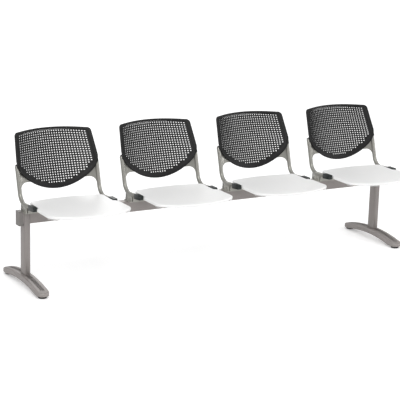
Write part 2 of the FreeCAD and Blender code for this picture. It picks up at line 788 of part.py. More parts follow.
write("beam", beam())
write("leg_bolts", Part.makeCompound(leg_bolts(-1) + leg_bolts(1)))
for side, side_name in ((-1, "left"), (1, "right")):
    write("end_block_" + side_name, end_block(side))
    write("nut_plate_" + side_name, nut_plate(side))
    write("column_" + side_name, column(side))
    write("foot_" + side_name, foot(side))
    for end, end_name in ((-1, "front"), (1, "rear")):
        write("glide_pad_%s_%s" % (side_name, end_name), glide_pad(side, end))
        write("glide_stem_%s_%s" % (side_name, end_name), glide_stem(side, end))
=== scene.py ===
import math

import bpy
from mathutils import Matrix, Vector


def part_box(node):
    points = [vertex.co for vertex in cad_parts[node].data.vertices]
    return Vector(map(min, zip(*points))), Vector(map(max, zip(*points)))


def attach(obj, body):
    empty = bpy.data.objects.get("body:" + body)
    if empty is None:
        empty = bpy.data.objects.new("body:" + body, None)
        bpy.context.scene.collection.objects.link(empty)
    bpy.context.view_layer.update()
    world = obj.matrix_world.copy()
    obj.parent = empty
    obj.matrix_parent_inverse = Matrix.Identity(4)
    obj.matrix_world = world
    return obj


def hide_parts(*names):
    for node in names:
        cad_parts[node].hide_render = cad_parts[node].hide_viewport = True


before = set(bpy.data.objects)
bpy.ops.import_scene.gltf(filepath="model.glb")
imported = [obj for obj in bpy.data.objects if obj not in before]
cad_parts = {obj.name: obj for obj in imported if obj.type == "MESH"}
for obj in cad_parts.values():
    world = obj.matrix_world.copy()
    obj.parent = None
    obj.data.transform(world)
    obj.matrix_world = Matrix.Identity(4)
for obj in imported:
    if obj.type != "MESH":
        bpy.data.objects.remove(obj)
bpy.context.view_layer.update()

bl_info = {
    "name": "Four seat beam seating",
    "version": (1, 0, 0),
    "blender": (4, 5, 0),
    "location": "View3D > Sidebar > Seating",
    "description": "Perforated backs, dished seats and a T-leg beam around a fixed frame",
    "category": "Object",
}

ROOT = "frame"
BEAM_Y = 0.074
RAIL_X = 0.225
COLUMN_X = 1.112
BEAM_END = 1.135
MIRROR_GAP = 0.0004
NEAR = 1e-4
TOUCH = 1e-5
FACING = 0.9
CHAIRS = (1, 2, 3, 4)
GLIDES = ("left_front", "left_rear", "right_front", "right_rear")


# Sizes and colours

class SeatingSizes(bpy.types.PropertyGroup):
    chair_pitch: bpy.props.FloatProperty(
        name="Chair pitch", description="Distance between neighbouring chairs",
        default=0.6, unit="LENGTH")
    back_radius: bpy.props.FloatProperty(
        name="Back radius", description="Radius of the back's curved face",
        default=0.453, unit="LENGTH")
    back_lean: bpy.props.FloatProperty(
        name="Back lean", description="Lean of the back from upright", default=math.radians(22),
        subtype="ANGLE", unit="ROTATION")
    back_rim: bpy.props.FloatProperty(
        name="Back rim thickness", description="Thickness of the plain border",
        default=0.0062, unit="LENGTH")
    back_panel: bpy.props.FloatProperty(
        name="Back panel thickness", description="Thickness of the perforated panel",
        default=0.0040, unit="LENGTH")
    hole_pitch_x: bpy.props.FloatProperty(
        name="Hole pitch across", description="Spacing of the square holes across",
        default=0.0141, unit="LENGTH")
    hole_pitch_u: bpy.props.FloatProperty(
        name="Hole pitch up", description="Spacing of the square holes up the back",
        default=0.0130, unit="LENGTH")
    hole_web: bpy.props.FloatProperty(
        name="Half web", description="Half of the web between two holes",
        default=0.0036, unit="LENGTH")
    tube_radius: bpy.props.FloatProperty(
        name="Tube radius", description="Radius of the side frame's tube",
        default=0.0109, unit="LENGTH")
    seat_height: bpy.props.FloatProperty(
        name="Seat height", description="Height of the seat's rim over the floor",
        default=0.460, unit="LENGTH")
    seat_wall: bpy.props.FloatProperty(
        name="Seat wall", description="Thickness of the seat's panel",
        default=0.0045, unit="LENGTH")


class SeatingColours(bpy.types.PropertyGroup):
    back: bpy.props.FloatVectorProperty(
        name="Back", description="Charcoal plastic of the backs", subtype="COLOR", size=3,
        default=(0.008, 0.008, 0.0082))
    seat: bpy.props.FloatVectorProperty(
        name="Seat", description="White plastic of the seats", subtype="COLOR", size=3,
        default=(0.90, 0.90, 0.895))
    tube: bpy.props.FloatVectorProperty(
        name="Side frame", description="Grey coat of the side frames", subtype="COLOR", size=3,
        default=(0.31, 0.305, 0.28))
    beam: bpy.props.FloatVectorProperty(
        name="Beam and legs", description="Taupe metallic coat of beam, columns and feet",
        subtype="COLOR", size=3,
        default=(0.30, 0.275, 0.265))
    cap: bpy.props.FloatVectorProperty(
        name="Rail cap", description="Dark plastic of the caps", subtype="COLOR", size=3,
        default=(0.014, 0.018, 0.018))
    bolt: bpy.props.FloatVectorProperty(
        name="Bolts", description="Blackened steel",
        subtype="COLOR", size=3, default=(0.09, 0.088, 0.085))


def sizes():
    return bpy.context.scene.seating_sizes


def colours():
    return bpy.context.scene.seating_colours


# Working by hand in edit mode

def deselect():
    if bpy.context.object and bpy.context.object.mode != "OBJECT":
        bpy.ops.object.mode_set(mode="OBJECT")
    bpy.ops.object.select_all(action="DESELECT")


def pick(*pieces):
    deselect()
    for piece in pieces:
        piece.select_set(True)
    bpy.context.view_layer.objects.active = pieces[-1]


def edit(piece):
    pick(piece)
    bpy.ops.object.mode_set(mode="EDIT")


def leave():
    bpy.ops.object.mode_set(mode="OBJECT")
    return bpy.context.object


def take_all(kind=None):
    """Select everything, as vertices, edges or faces where a kind is given."""
    if kind:
        bpy.ops.mesh.select_mode(type=kind)
    bpy.ops.mesh.select_all(action="SELECT")


def draw_out(step):
    """Extrude the selection by a step."""
    bpy.ops.mesh.extrude_region_move(TRANSFORM_OT_translate={"value": step})


def draw_edges(step=(0, 0, 0)):
    """Extrude the selected edges by a step."""
    bpy.ops.mesh.extrude_edges_move(TRANSFORM_OT_translate={"value": step})


def select_where(piece, test, kind="VERT"):
    """Select vertices or faces whose place passes the test; the piece stays in edit mode."""
    bpy.ops.mesh.select_mode(type=kind)
    bpy.ops.mesh.select_all(action="DESELECT")
    bpy.ops.object.mode_set(mode="OBJECT")
    if kind == "FACE":
        for face in piece.data.polygons:
            face.select = test(face)
    else:
        for vertex in piece.data.vertices:
            vertex.select = test(vertex.co)
    bpy.ops.object.mode_set(mode="EDIT")


def apply(piece, kind, name, **values):
    """Add a modifier, set it and apply it."""
    pick(piece)
    modifier = piece.modifiers.new(name, kind)
    for key, value in values.items():
        setattr(modifier, key, value)
    bpy.ops.object.modifier_apply(modifier=modifier.name)
    return piece


def round_edges(piece, width, segments=3, angle=35.0):
    return apply(piece, "BEVEL", "Rounded edges", width=width, segments=segments,
                 limit_method="ANGLE", angle_limit=math.radians(angle), harden_normals=False)


def smooth(piece, angle=35.0):
    pick(piece)
    bpy.ops.object.shade_smooth_by_angle(angle=math.radians(angle))
    return piece


def outward(piece, merge=TOUCH):
    """Merge doubles closer than a distance and turn every face outwards."""
    edit(piece)
    take_all()
    if merge:
        bpy.ops.mesh.remove_doubles(threshold=merge)
    bpy.ops.mesh.normals_make_consistent(inside=False)
    return leave()


def settle(piece):
    """Put the piece's place, turn and scale into its mesh."""
    pick(piece)
    bpy.ops.object.transform_apply(location=True, rotation=True, scale=True)
    return piece


def start_point(name, place):
    """A single vertex, left selected in edit mode."""
    deselect()
    bpy.ops.mesh.primitive_plane_add(size=0.001, location=(0, 0, 0))
    piece = bpy.context.object
    piece.name = name
    edit(piece)
    take_all("VERT")
    bpy.ops.mesh.merge(type="CENTER")
    take_all()
    bpy.ops.transform.translate(value=place)
    return piece


def run_to(start, end, cuts=0):
    """Extrude the selected vertex from start to end, in equal steps."""
    step = (Vector(end) - Vector(start)) / (cuts + 1)
    for _ in range(cuts + 1):
        draw_out(step)


def sweep(centre, angle, steps, axis=(0, 0, 1)):
    """Spin the selection about an axis."""
    bpy.ops.mesh.spin(steps=steps, angle=-angle, center=centre, axis=axis)


def close_half():
    """Close the half outline being drawn with its mirror image."""
    return apply(leave(), "MIRROR", "Other half", use_axis=(True, False, False),
                 merge_threshold=MIRROR_GAP)


def box_piece(name, low, high, edge=0.0, segments=3):
    """A block between two corners, with its edges rounded by bevel."""
    deselect()
    low, high = Vector(low), Vector(high)
    bpy.ops.mesh.primitive_cube_add(size=1, location=(low + high) / 2)
    piece = bpy.context.object
    piece.name = name
    piece.scale = high - low
    settle(piece)
    if edge:
        round_edges(piece, edge, segments)
    return piece


def cylinder_piece(radius, length, place, sides, rotation=(0, 0, 0)):
    """A round or many-sided bar about a place."""
    deselect()
    bpy.ops.mesh.primitive_cylinder_add(vertices=sides, radius=radius, depth=length, location=place,
                                        rotation=rotation)
    return settle(bpy.context.object)


def bridge(piece):
    """Join the drawn loops by faces; the piece stays in edit mode."""
    edit(piece)
    take_all("EDGE")
    bpy.ops.mesh.bridge_edge_loops()


def rename(piece, name):
    piece.name = name
    piece.data.name = name
    return piece


def twin_of(piece, name):
    pick(piece)
    bpy.ops.object.duplicate(linked=False)
    return rename(bpy.context.object, name)


def copy_piece(piece, name, offset):
    twin = twin_of(piece, name)
    twin.location = twin.location + Vector(offset)
    return settle(twin)


def mirror_piece(piece, name):
    """The same piece on the other side of the middle plane."""
    twin = twin_of(piece, name)
    twin.scale = (-1, 1, 1)
    settle(twin)
    return outward(twin, merge=0)


def bevel_along(piece, axis, least, offset, segments):
    """Bevel the edges that run along an axis for more than a given length."""
    edit(piece)
    bpy.ops.mesh.select_mode(type="EDGE")
    bpy.ops.mesh.select_all(action="DESELECT")
    bpy.ops.object.mode_set(mode="OBJECT")
    mesh = piece.data
    for line in mesh.edges:
        start, end = (mesh.vertices[index].co for index in line.vertices)
        line.select = abs(start[axis] - end[axis]) > least
    bpy.ops.object.mode_set(mode="EDIT")
    bpy.ops.mesh.bevel(offset=offset, segments=segments)
    return leave()


def joined(name, *pieces):
    pick(*pieces)
    bpy.ops.object.join()
    return rename(bpy.context.object, name)


def on_arc(place, centre, radius):
    """Whether a point lies on a circle in plan."""
    return abs(math.hypot(place[0] - centre[0], place[1] - centre[1]) - radius) < NEAR


def chair_x(number):
    return (number - 2.5) * sizes().chair_pitch


# Effects shared by the materials

COAT_ROUGHNESS = 0.18
SHINE_DRIFT = 0.05


def effect(name, inputs, outputs):
    group = bpy.data.node_groups.new(name, "ShaderNodeTree")
    for label, default in inputs:
        socket = group.interface.new_socket(name=label, in_out="INPUT", socket_type="NodeSocketFloat")
        socket.default_value = default
    for label in outputs:
        group.interface.new_socket(name=label, in_out="OUTPUT", socket_type="NodeSocketFloat")
    return group, group.nodes.new("NodeGroupInput"), group.nodes.new("NodeGroupOutput")


def dial(node, values):
    """Set a node's inputs by their names."""
    for name, value in values.items():
        node.inputs[name].default_value = value


def noise(group, place, detail, scale):
    """Noise on the object's own coordinates; its scale is a number or a socket."""
    texture = group.nodes.new("ShaderNodeTexNoise")
    dial(texture, {"Detail": detail})
    group.links.new(place.outputs["Object"], texture.inputs["Vector"])
    if isinstance(scale, float):
        dial(texture, {"Scale": scale})
    else:
        group.links.new(scale, texture.inputs["Scale"])
    return texture.outputs["Fac"]


def moulded_grain():
    """Fine spark texture of moulded plastic, with a slow drift in shine."""
    group, enter, out = effect("Moulded grain", [("Grain size", 1400.0)], ["Height", "Drift"])
    place = group.nodes.new("ShaderNodeTexCoord")
    group.links.new(noise(group, place, 3.0, enter.outputs["Grain size"]), out.inputs["Height"])
    group.links.new(noise(group, place, 4.0, 9.0), out.inputs["Drift"])


def powder_coat():
    """Orange peel of a baked coat, with fine metal flakes."""
    group, enter, out = effect("Powder coat", [("Peel size", 420.0), ("Flake size", 2600.0)],
                               ["Height", "Flakes", "Drift"])
    place = group.nodes.new("ShaderNodeTexCoord")
    flake = group.nodes.new("ShaderNodeTexVoronoi")
    link = group.links.new
    link(noise(group, place, 2.0, enter.outputs["Peel size"]), out.inputs["Height"])
    link(noise(group, place, 3.0, 5.0), out.inputs["Drift"])
    link(place.outputs["Object"], flake.inputs["Vector"])
    link(enter.outputs["Flake size"], flake.inputs["Scale"])
    link(flake.outputs["Distance"], out.inputs["Flakes"])


def span(nodes, links, value, low, high, start=0.0, end=1.0):
    """Map a value between start and end onto a range."""
    ramp = nodes.new("ShaderNodeMapRange")
    dial(ramp, {"From Min": start, "From Max": end, "To Min": low, "To Max": high})
    links.new(value, ramp.inputs["Value"])
    return ramp.outputs["Result"]


def tint(nodes, links, factor, colour, low, high):
    """Vary a colour between two brightnesses."""
    mix = nodes.new("ShaderNodeMix")
    mix.data_type = "RGBA"
    for socket, share in (("A", low), ("B", high)):
        dial(mix, {socket: (*[min(1.0, c * share) for c in colour], 1)})
    links.new(factor, mix.inputs["Factor"])
    return mix.outputs["Result"]


def new_material(name):
    material = bpy.data.materials.new(name)
    material.use_nodes = True
    tree = material.node_tree
    return material, tree.nodes, tree.links, tree.nodes["Principled BSDF"]


def finish(name, group_name, colour, rough, metallic=0.0, bump=0.05, distance=0.0002, vary=0.05,
           coat=0.0, specular=0.5):
    """A material with its own shader, fed by one shared effect."""
    material, nodes, links, shader = new_material(name)
    source = nodes.new("ShaderNodeGroup")
    source.node_tree = bpy.data.node_groups[group_name]
    dial(shader, {"Metallic": metallic, "Specular IOR Level": specular, "Coat Weight": coat,
                  "Coat Roughness": COAT_ROUGHNESS})
    fleck = source.outputs["Flakes" if "Flakes" in source.outputs else "Drift"]
    links.new(tint(nodes, links, fleck, colour, 1 - vary, 1 + vary), shader.inputs["Base Color"])
    roughness = span(nodes, links, source.outputs["Drift"], rough - SHINE_DRIFT, rough + SHINE_DRIFT)
    links.new(roughness, shader.inputs["Roughness"])
    relief = nodes.new("ShaderNodeBump")
    dial(relief, {"Strength": bump, "Distance": distance})
    links.new(source.outputs["Height"], relief.inputs["Height"])
    links.new(relief.outputs["Normal"], shader.inputs["Normal"])
    return material


def wear(piece, material, body, slot, *nodes):
    """Give a piece its material and the body it rides on, and hide the nodes it stands for."""
    piece.data.materials.clear()
    piece.data.materials.append(bpy.data.materials[material])
    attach(piece, body)
    if nodes:
        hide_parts(*nodes)
    return piece


def set_on_chairs(models, name, material, slot, node):
    """Copy the models to every chair; each copy stands for that chair's own node."""
    for number in CHAIRS:
        for side, model in models:
            tail = "%s%d" % (side, number)
            piece = copy_piece(model, name + tail, (chair_x(number), 0, 0))
            wear(piece, material, ROOT, slot, node + tail)
    for _, model in models:
        bpy.data.objects.remove(model)


def set_pairs(right, angle, name, material, slot, node):
    """Mirror the right-hand model and set both sides on every chair."""
    left = smooth(mirror_piece(right, name + "left"), angle)
    set_on_chairs([("left_", left), ("right_", right)], name, material, slot, node)


def dress_node(node, material):
    """Give a kept frame node a better material."""
    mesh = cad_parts[node].data
    if not mesh.materials:
        mesh.materials.append(None)
    for index in range(len(mesh.materials)):
        mesh.materials[index] = bpy.data.materials[material]


# The back, drawn in its own frame: x across, u up along the lean, depth to the rear

BACK = {
    "half": 0.231, "top_half": 0.216, "bottom": -0.106, "widest": 0.046, "top": 0.223,
    "crown": 0.026, "corner": 0.024, "least_corner": 0.009, "corner_cut": 0.0035, "bottom_radius": 0.300,
}
BACK_ORIGIN = Vector((0, BEAM_Y - 0.308396, 0.753469))
RIM = {"side": 0.0190, "top": 0.0140, "bottom": 0.0265}
RIM_SKIN = 0.0008
RIM_EDGE = 0.0017
GRID = {"columns": 34, "rows": 26, "gap": 0.001, "under_rim": 0.5, "press_limit": 1.2, "narrow": 0.3}
SADDLE = {
    "low": (0.2160, 0.3905, 0.006), "high": (0.2290, 0.4095, 0.032), "edge": 0.002,
    "screw_radius": 0.0035, "screw_height": 0.003, "screw_depth": 0.4215, "screws": (0.012, 0.028),
    "screw_edge": 0.0006,
}
DRUM_SIDES = 960
BACK_STEPS = {"bottom": 22, "side": 12, "edge": 8, "corner": 7, "top": 22}


def back_arcs(side, top, bottom):
    """Arcs and corners of the back's outline, each border inset by its own width."""
    half = BACK["half"] - side
    top_half = BACK["top_half"] - side
    low = BACK["bottom"] + bottom
    high = BACK["top"] - top
    radius = BACK["bottom_radius"] - bottom
    widest = BACK["widest"]
    centre_u = low + radius
    rise = centre_u - widest
    turn = (radius ** 2 - rise ** 2 - half ** 2) / (2 * (radius - half))
    side_centre = Vector((half - turn, widest, 0))
    bottom_centre = Vector((0, centre_u, 0))
    joint = bottom_centre + (side_centre - bottom_centre).normalized() * radius
    corner_u = high - BACK["crown"]
    corner = max(BACK["corner"] - side, BACK["least_corner"])
    into = Vector((top_half - half, corner_u - widest, 0)).normalized()
    foot = Vector((top_half, corner_u, 0)) - into * corner
    head = Vector((top_half - corner, corner_u + BACK["crown"] * corner / top_half, 0))
    return {"half": half, "low": low, "high": high, "radius": radius, "turn": turn, "widest": widest,
            "side_centre": side_centre, "bottom_centre": bottom_centre, "joint": joint,
            "foot": foot, "head": head, "corner": Vector((top_half, corner_u, 0))}


def back_loop(name, side, top, bottom):
    """Closed outline in the XY plane, drawn from the bottom round to the top and mirrored."""
    a = back_arcs(side, top, bottom)
    start_point(name, (0, a["low"], 0))
    swing = math.atan2(a["joint"].x, a["bottom_centre"].y - a["joint"].y)
    sweep(a["bottom_centre"], swing, BACK_STEPS["bottom"])
    rise = -math.atan2(a["joint"].y - a["widest"], a["joint"].x - a["side_centre"].x)
    sweep(a["side_centre"], rise, BACK_STEPS["side"])
    run_to((a["half"], a["widest"], 0), a["foot"], BACK_STEPS["edge"])
    middle = (a["corner"] * 2 + a["foot"] + a["head"]) / 4
    centre, angle = circle_through(a["foot"], middle, a["head"])
    sweep(centre, angle, BACK_STEPS["corner"])
    top_middle = Vector((0, a["high"], 0))
    left_head = Vector((-a["head"].x, a["head"].y, 0))
    centre, angle = circle_through(a["head"], top_middle, left_head)
    sweep(centre, angle / 2, BACK_STEPS["top"])
    return close_half()


def circle_through(a, b, c):
    """Centre and turning angle of the arc from a through b to c in the XY plane."""
    ab, ac = b - a, c - a
    d = 2 * (ab.x * ac.y - ab.y * ac.x)
    ux = (ac.y * ab.length_squared - ab.y * ac.length_squared) / d
    uy = (ab.x * ac.length_squared - ac.x * ab.length_squared) / d
    centre = a + Vector((ux, uy, 0))
    start, end = a - centre, c - centre
    angle = math.atan2(start.x * end.y - start.y * end.x, start.x * end.x + start.y * end.y)
    return centre, angle


def inside_back(x, u, a):
    """Whether a point lies inside the outline whose arcs are given."""
    x = abs(x)
    if x > a["half"] or u < a["low"]:
        return False
    top = a["high"] - BACK["crown"] * (x / a["corner"].x) ** 2
    if u > top:
        return False
    if u >= a["widest"]:
        t = (u - a["widest"]) / (a["corner"].y - a["widest"])
        edge = a["half"] + (a["corner"].x - a["half"]) * min(t, 1.0)
        corner = a["corner"] - Vector((x, u, 0))
        return x <= edge and corner.x + corner.y > BACK["corner_cut"]
    if u <= a["joint"].y:
        return math.hypot(x, u - a["bottom_centre"].y) <= a["radius"]
    centre = a["side_centre"]
    return x <= centre.x or math.hypot(x - centre.x, u - centre.y) <= a["turn"]


def wrap_back(piece, drum, thickness):
    """Lay a flat sheet on the back's cylinder and give it its thickness."""
    pick(piece)
    piece.rotation_euler = (math.radians(90), 0, 0)
    settle(piece)
    apply(piece, "SHRINKWRAP", "Laid on the curve", wrap_method="PROJECT", target=drum,
          use_project_y=True, use_project_x=False, use_project_z=False,
          use_positive_direction=True, use_negative_direction=False)
    apply(piece, "SOLIDIFY", "Wall", thickness=thickness, offset=0.0, use_even_offset=True)
    return piece


def follow_outline(grid, top):
    """Press the rows to the crown and draw the columns in with the sides."""
    top_reach = BACK["top_half"] - RIM["side"]
    for vertex in grid.data.vertices:
        share = max(0.0, (vertex.co.y - BACK["bottom"]) / (top - BACK["bottom"]))
        rise = max(0.0, (vertex.co.y - BACK["widest"]) / (top - BACK["widest"]))
        vertex.co.x *= 1 - (1 - BACK["top_half"] / BACK["half"]) * rise
        vertex.co.y -= BACK["crown"] * min(GRID["press_limit"], (vertex.co.x / top_reach) ** 2) * share


def back_panel():
    """Grid of square cells, opened by inset where each hole lies inside the rim."""
    s = sizes()
    columns, rows = GRID["columns"], GRID["rows"]
    deselect()
    bpy.ops.mesh.primitive_grid_add(x_subdivisions=columns, y_subdivisions=rows, size=1,
                                    location=(0, 0, 0))
    piece = bpy.context.object
    piece.name = "back_panel"
    piece.scale = (columns * s.hole_pitch_x, rows * s.hole_pitch_u, 1)
    top = BACK["top"] - RIM["top"] - GRID["gap"]
    piece.location = (s.hole_pitch_x / 2, top - rows * s.hole_pitch_u / 2, 0)
    settle(piece)
    follow_outline(piece, top)
    edit(piece)
    take_all("FACE")
    bpy.ops.mesh.inset(thickness=s.hole_web, use_individual=True, use_even_offset=True)
    field = back_arcs(RIM["side"] + GRID["gap"], RIM["top"], RIM["bottom"] + GRID["gap"])
    cover = back_arcs(*(RIM[border] * GRID["under_rim"] for border in ("side", "top", "bottom")))
    reach_x = s.hole_pitch_x / 2 - s.hole_web
    reach_u = s.hole_pitch_u / 2 - s.hole_web

    def open_here(face):
        centre = face.center
        if not inside_back(centre.x, centre.y, cover):
            return True
        across = [piece.data.vertices[index].co.x for index in face.vertices]
        if abs(max(across) - min(across) - 2 * reach_x) > reach_x * GRID["narrow"]:
            return False
        return all(inside_back(centre.x + sx * reach_x, centre.y + su * reach_u, field)
                   for sx in (-1, 1) for su in (-1, 1))

    select_where(piece, open_here, "FACE")
    bpy.ops.mesh.delete(type="FACE")
    leave()
    return piece


def back_rim():
    """Plain border: the outline filled, inset and opened in the middle."""
    outer = back_loop("back_rim", RIM_SKIN, RIM_SKIN, RIM_SKIN)
    inner = back_loop("back_rim_inner", RIM["side"], RIM["top"], RIM["bottom"])
    piece = joined("back_rim", inner, outer)
    bridge(piece)
    return outward(piece, merge=0)


def lean_back(piece):
    """Move a piece from the back's own frame to its place on the uprights."""
    s = sizes()
    piece.rotation_euler = (-s.back_lean, 0, 0)
    piece.location = BACK_ORIGIN
    return settle(piece)


def back_saddle():
    """Rounded block that holds the shell to the upright, with two screw heads."""
    block = box_piece("back_saddle", SADDLE["low"], SADDLE["high"], SADDLE["edge"])
    heads = []
    for u in SADDLE["screws"]:
        head = cylinder_piece(SADDLE["screw_radius"], SADDLE["screw_height"],
                              (RAIL_X, SADDLE["screw_depth"], u), 20, (math.radians(90), 0, 0))
        heads.append(round_edges(head, SADDLE["screw_edge"], 2))
    return joined("back_saddle", *heads, block)


class SEATING_OT_backs(bpy.types.Operator):
    """Model one perforated back and set a copy on each chair"""
    bl_idname = "seating.backs"
    bl_label = "Backs"

    def execute(self, context):
        s = sizes()
        drum = cylinder_piece(s.back_radius, 1.0, (0, 0, 0), DRUM_SIDES)
        panel = wrap_back(back_panel(), drum, s.back_panel)
        rim = wrap_back(back_rim(), drum, s.back_rim)
        round_edges(rim, RIM_EDGE, 3, 40)
        smooth(rim, 50)
        saddle = back_saddle()
        saddle_left = mirror_piece(saddle, "back_saddle_left")
        back = joined("back_mould", panel, saddle, saddle_left, rim)
        lean_back(back)
        bpy.data.objects.remove(drum)
        set_on_chairs([("", back)], "back_mould_", "Charcoal plastic", "back_plastic", "back_shell_")
        return {"FINISHED"}


# The seat: plan loops drawn with arcs, bridged, then pressed to shape

SEAT = {
    "rear_half": 0.208, "front_half": 0.229, "front": 0.408, "rear": -0.015, "widest": 0.205,
    "corner_reach": 0.320,
    "shoulder": 0.165, "shoulder_inner": 0.010, "front_radius": 0.500, "rear_radius": 0.900,
    "rear_corner": 0.032, "fall": 0.004, "fall_start": 0.300, "lift": 0.004, "lift_length": 0.110,
    "across": 0.003, "along": 0.008, "level_edge": 0.8, "sink": 0.0004,
}
SEAT_MIDDLE = (SEAT["rear"] - SEAT["front"]) / 2
SEAT_INSET = 0.020
SEAT_SKIRT = 0.003
SEAT_TAPER = 0.012
SEAT_LEVEL = 0.7
# Inset and drop of each loop, from the skirt's inner foot over the rolled edge to the panel
SEAT_EDGE = (
    (0.0065, -0.0125), (0.0025, -0.0128), (0.0006, -0.0120), (0.0, -0.0105), (0.0, -0.0052),
    (0.0007, -0.0028), (0.0022, -0.0011), (0.0046, -0.0002), (0.0085, 0.0), (SEAT_INSET, 0.0),
)
SEAT_STEPS = {
    "front": 14, "front_corner": 14, "front_side": 5, "widening": 7, "shoulder": 6, "rear_side": 9,
    "rear_corner": 10, "rear": 12,
}
SEAT_RINGS = (0.93, 0.91, 0.88, 0.85, 0.80, 0.72, 0.6, 0.4)


def seat_arcs(inset):
    rear_half, front_half, rear_corner, rear_radius, front_radius = (
        SEAT[key] - inset
        for key in ("rear_half", "front_half", "rear_corner", "rear_radius", "front_radius"))
    rear = SEAT["rear"] - inset
    front = -SEAT["front"] + inset
    rear_centre = rear - rear_radius
    corner_x = rear_half - rear_corner
    corner_y = rear_centre + math.sqrt((rear_radius - rear_corner) ** 2 - corner_x ** 2)
    rear_joint = Vector((corner_x, corner_y - rear_centre, 0)).normalized() * rear_radius
    rear_joint.y += rear_centre
    front_centre = front + front_radius
    rise = front_centre + SEAT["corner_reach"]
    corner = (front_radius ** 2 - rise ** 2 - front_half ** 2) / (2 * (front_radius - front_half))
    front_corner = Vector((front_half - corner, -SEAT["corner_reach"], 0))
    front_joint = (front_corner - Vector((0, front_centre, 0))).normalized() * front_radius
    front_joint.y += front_centre
    shift = front_half - rear_half
    length = SEAT["widest"] - SEAT["shoulder"]
    total = (shift ** 2 + length ** 2) / (2 * shift)
    turn = math.asin(length / total)
    inner = SEAT["shoulder_inner"] + inset
    return {"front": front, "rear": rear, "front_centre": front_centre, "rear_centre": rear_centre,
            "front_joint": front_joint, "front_corner": front_corner, "rear_joint": rear_joint,
            "corner": Vector((corner_x, corner_y, 0)), "rear_half": rear_half, "front_half": front_half,
            "turn": turn, "inner": inner, "outer": total - inner}


def seat_loop(name, inset, drop):
    """Half of the seat's plan drawn from the front middle to the rear middle, then mirrored."""
    a = seat_arcs(inset)
    piece = start_point(name, (0, a["front"], 0))
    centre = Vector((0, a["front_centre"], 0))
    angle = math.atan2(a["front_joint"].x, centre.y - a["front_joint"].y)
    sweep(centre, angle, SEAT_STEPS["front"])
    c = a["front_corner"]
    angle = -math.atan2(a["front_joint"].y - c.y, a["front_joint"].x - c.x)
    sweep(c, angle, SEAT_STEPS["front_corner"])
    run_to((a["front_half"], c.y, 0), (a["front_half"], -SEAT["widest"], 0), SEAT_STEPS["front_side"])
    outer = Vector((a["front_half"] - a["outer"], -SEAT["widest"], 0))
    sweep(outer, a["turn"], SEAT_STEPS["widening"])
    inner = Vector((a["rear_half"] + a["inner"], -SEAT["shoulder"], 0))
    sweep(inner, -a["turn"], SEAT_STEPS["shoulder"])
    side_top = Vector((a["rear_half"], a["corner"].y, 0))
    run_to((a["rear_half"], -SEAT["shoulder"], 0), side_top, SEAT_STEPS["rear_side"])
    angle = math.atan2(a["rear_joint"].y - a["corner"].y, a["rear_joint"].x - a["corner"].x)
    sweep(a["corner"], angle, SEAT_STEPS["rear_corner"])
    centre = Vector((0, a["rear_centre"], 0))
    angle = math.atan2(a["rear_joint"].x, a["rear_joint"].y - centre.y)
    sweep(centre, angle, SEAT_STEPS["rear"])
    close_half()
    piece.location = (0, 0, drop)
    return settle(piece)


def seat_rise(x, reach):
    """Height of the pressed panel over the rim at a place."""
    across = -SEAT["across"] * (1 - min(1.0, (x / SEAT["front_half"]) ** 2))
    half = (SEAT["rear"] + SEAT["front"]) / 2
    along = -SEAT["along"] * (1 - ((reach - SEAT_MIDDLE) / half) ** 2)
    along *= 1 - SEAT["level_edge"] * min(1.0, (x / SEAT["rear_half"]) ** 2)
    fall = max(0.0, (-reach - SEAT["fall_start"]) / (SEAT["front"] - SEAT["fall_start"]))
    lift = max(0.0, 1 + (reach - SEAT["rear"]) / SEAT["lift_length"])
    return across + along - SEAT["fall"] * fall ** 2 + SEAT["lift"] * lift ** 2 - SEAT["sink"]


class SEATING_OT_seats(bpy.types.Operator):
    """Model one dished seat with a rolled edge and set a copy on each chair"""
    bl_idname = "seating.seats"
    bl_label = "Seats"

    def execute(self, context):
        s = sizes()
        loops = [seat_loop("seat_loop_%d" % i, *place) for i, place in enumerate(SEAT_EDGE)]
        seat = joined("seat_panel", *loops)
        bridge(seat)
        inner = seat_arcs(SEAT_INSET)
        select_where(seat, lambda co: co.z > -TOUCH and self.on_inner_loop(co, inner))
        bpy.ops.mesh.select_mode(type="EDGE")
        for scale in SEAT_RINGS:
            draw_edges()
            bpy.ops.transform.resize(value=(scale, scale, 1), center_override=(0, SEAT_MIDDLE, 0))
        bpy.ops.mesh.edge_face_add()
        leave()
        for vertex in seat.data.vertices:
            vertex.co.z += seat_rise(vertex.co.x, vertex.co.y)
        seat.location = (0, BEAM_Y, s.seat_height)
        settle(seat)
        outward(seat)
        under = self.underside(seat)
        seat = joined("seat_panel", under, seat)
        smooth(seat, 40)
        set_on_chairs([("", seat)], "seat_mould_", "White plastic", "seat_plastic", "seat_shell_")
        return {"FINISHED"}

    @staticmethod
    def on_inner_loop(co, inner):
        """Whether a point lies on the innermost drawn loop."""
        place = Vector((abs(co.x), co.y, 0))
        if co.y < -SEAT["corner_reach"]:
            if place.x <= inner["front_joint"].x:
                return on_arc(place, (0, inner["front_centre"]), SEAT["front_radius"] - SEAT_INSET)
            corner = inner["front_corner"]
            return on_arc(place, corner, inner["front_half"] - corner.x)
        if co.y > inner["corner"].y:
            if place.x <= inner["rear_joint"].x:
                return on_arc(place, (0, inner["rear_centre"]), SEAT["rear_radius"] - SEAT_INSET)
            return on_arc(place, inner["corner"], SEAT["rear_corner"] - SEAT_INSET)
        return place.x <= inner["front_half"] + NEAR and on_side_stretch(place, inner)

    def underside(self, seat):
        """Panel's lower face: the upper face copied down by the wall."""
        s = sizes()
        under = copy_piece(seat, "seat_underside", (0, 0, -s.seat_wall))
        edit(under)
        select_where(under, lambda face: face.normal.z < SEAT_LEVEL
                     or not inside_seat(face.center), "FACE")
        bpy.ops.mesh.delete(type="FACE")
        take_all()
        bpy.ops.mesh.flip_normals()
        return leave()


